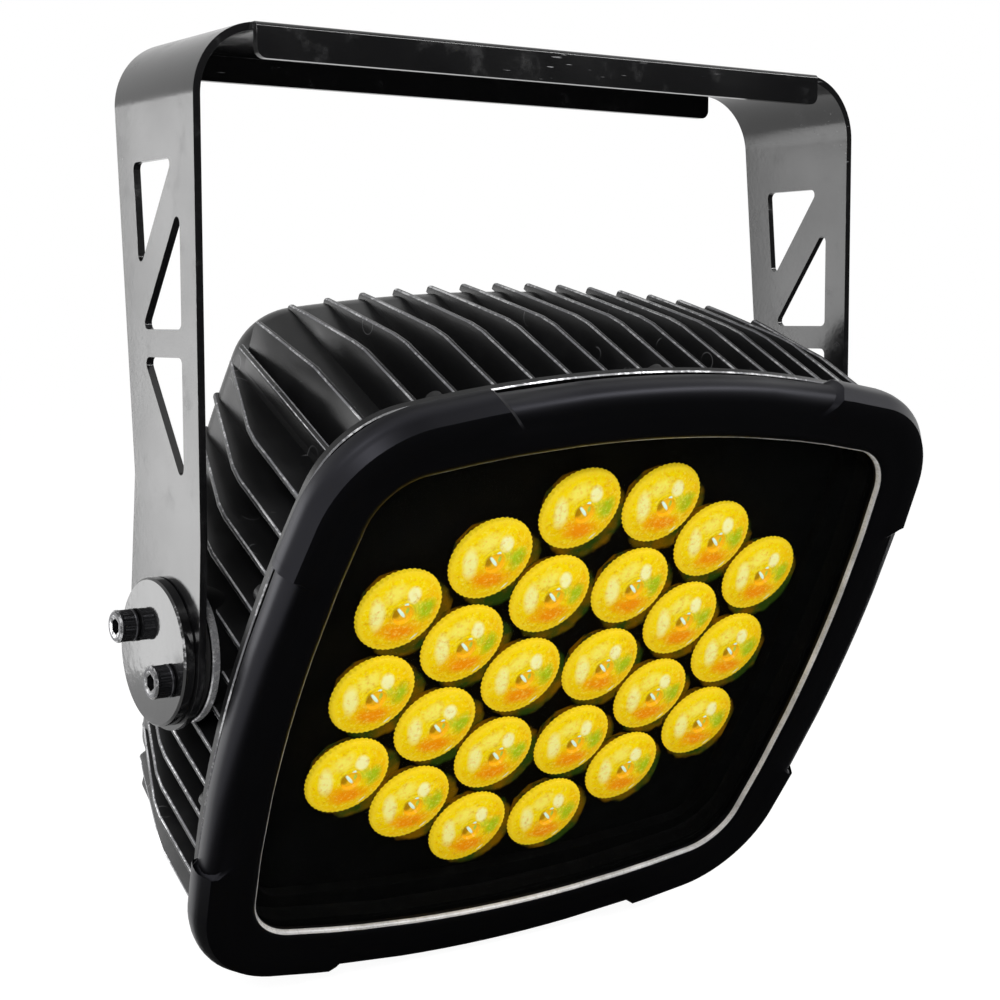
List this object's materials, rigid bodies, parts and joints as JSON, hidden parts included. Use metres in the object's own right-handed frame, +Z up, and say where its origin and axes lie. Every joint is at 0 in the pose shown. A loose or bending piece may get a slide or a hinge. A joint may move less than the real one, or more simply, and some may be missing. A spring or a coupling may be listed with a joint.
{
  "type": "led wash panel",
  "caption": "Square stage wash light with a honeycomb of amber LED lenses behind glass, in a finned casting that tilts in a bent sheet yoke with triangular cut-outs.",
  "frame": {"origin": "centre of the yoke's flat top face, midway between its two hanging holes", "axes": "+Z up, out of the yoke's top face; +X along the tilt axis, to the right as seen from in front; the lamp shines towards -Y, tilted 29 degrees down at rest"},
  "size_m": [0.3624, 0.2411, 0.3932],
  "materials": {
    "black_paint": "gloss",
    "bezel_paint": "satin",
    "cast_black": "satin",
    "black_oxide": "satin",
    "zinc_steel": "satin",
    "clear_glass": "gloss",
    "amber_lens": "gloss",
    "washer_fibre": "matte",
    "black_plastic": "matte",
    "rubber": "matte",
    "button_rubber": "matte",
    "board_aluminium": "matte",
    "case_aluminium": "satin",
    "circuit_board": "satin",
    "thermal_pad": "matte",
    "wire_sleeve": "matte"
  },
  "bodies": {
    "yoke": {"yoke_bracket": "black_paint"},
    "head": {"tilt_disc_left": "black_paint", "tilt_disc_right": "black_paint", "friction_washer_left": "washer_fibre", "friction_washer_right": "washer_fibre", "tilt_screw_left_front": "black_oxide", "tilt_screw_left_back": "black_oxide", "tilt_screw_right_front": "black_oxide", "tilt_screw_right_back": "black_oxide", "heatsink_body": "cast_black", "front_bezel": "bezel_paint", "bezel_seal": "rubber", "front_glass": "clear_glass", "glass_gasket": "rubber", "lens_plate": "black_plastic", "lens_01": "amber_lens", "lens_02": "amber_lens", "lens_03": "amber_lens", "lens_04": "amber_lens", "lens_05": "amber_lens", "lens_06": "amber_lens", "lens_07": "amber_lens", "lens_08": "amber_lens", "lens_09": "amber_lens", "lens_10": "amber_lens", "lens_11": "amber_lens", "lens_12": "amber_lens", "lens_13": "amber_lens", "lens_14": "amber_lens", "lens_15": "amber_lens", "lens_16": "amber_lens", "lens_17": "amber_lens", "lens_18": "amber_lens", "lens_19": "amber_lens", "lens_20": "amber_lens", "lens_21": "amber_lens", "lens_22": "amber_lens", "lens_23": "amber_lens", "lens_24": "amber_lens", "led_board": "board_aluminium", "thermal_pad": "thermal_pad", "power_supply": "case_aluminium", "driver_board": "circuit_board", "control_board": "circuit_board", "rear_cover": "cast_black", "rear_cover_seal": "rubber", "display_window": "clear_glass", "data_out_socket": "black_plastic", "data_in_socket": "black_plastic", "power_out_socket": "black_plastic", "power_in_socket": "black_plastic", "vent_plug": "black_plastic", "safety_eye": "zinc_steel", "supply_loom": "wire_sleeve", "driver_loom": "wire_sleeve", "led_loom": "wire_sleeve"},
    "menu_button": {"button_menu": "button_rubber"},
    "down_button": {"button_down": "button_rubber"},
    "up_button": {"button_up": "button_rubber"},
    "enter_button": {"button_enter": "button_rubber"}
  },
  "joints": [
    {"name": "head_tilt", "type": "hinge", "parent": "yoke", "child": "head", "pos_m": [0, -0.002, -0.2385], "axis": [1, 0, 0], "range_deg": [-119, 91]},
    {"name": "menu_press", "type": "slide", "parent": "head", "child": "menu_button", "axis": [0, -0.8746, -0.4848], "range_m": [0, 0.001], "stiffness_N_per_m": 1500, "springref_m": -0.0008},
    {"name": "down_press", "type": "slide", "parent": "head", "child": "down_button", "axis": [0, -0.8746, -0.4848], "range_m": [0, 0.001], "stiffness_N_per_m": 1500, "springref_m": -0.0008},
    {"name": "up_press", "type": "slide", "parent": "head", "child": "up_button", "axis": [0, -0.8746, -0.4848], "range_m": [0, 0.001], "stiffness_N_per_m": 1500, "springref_m": -0.0008},
    {"name": "enter_press", "type": "slide", "parent": "head", "child": "enter_button", "axis": [0, -0.8746, -0.4848], "range_m": [0, 0.001], "stiffness_N_per_m": 1500, "springref_m": -0.0008}
  ]
}
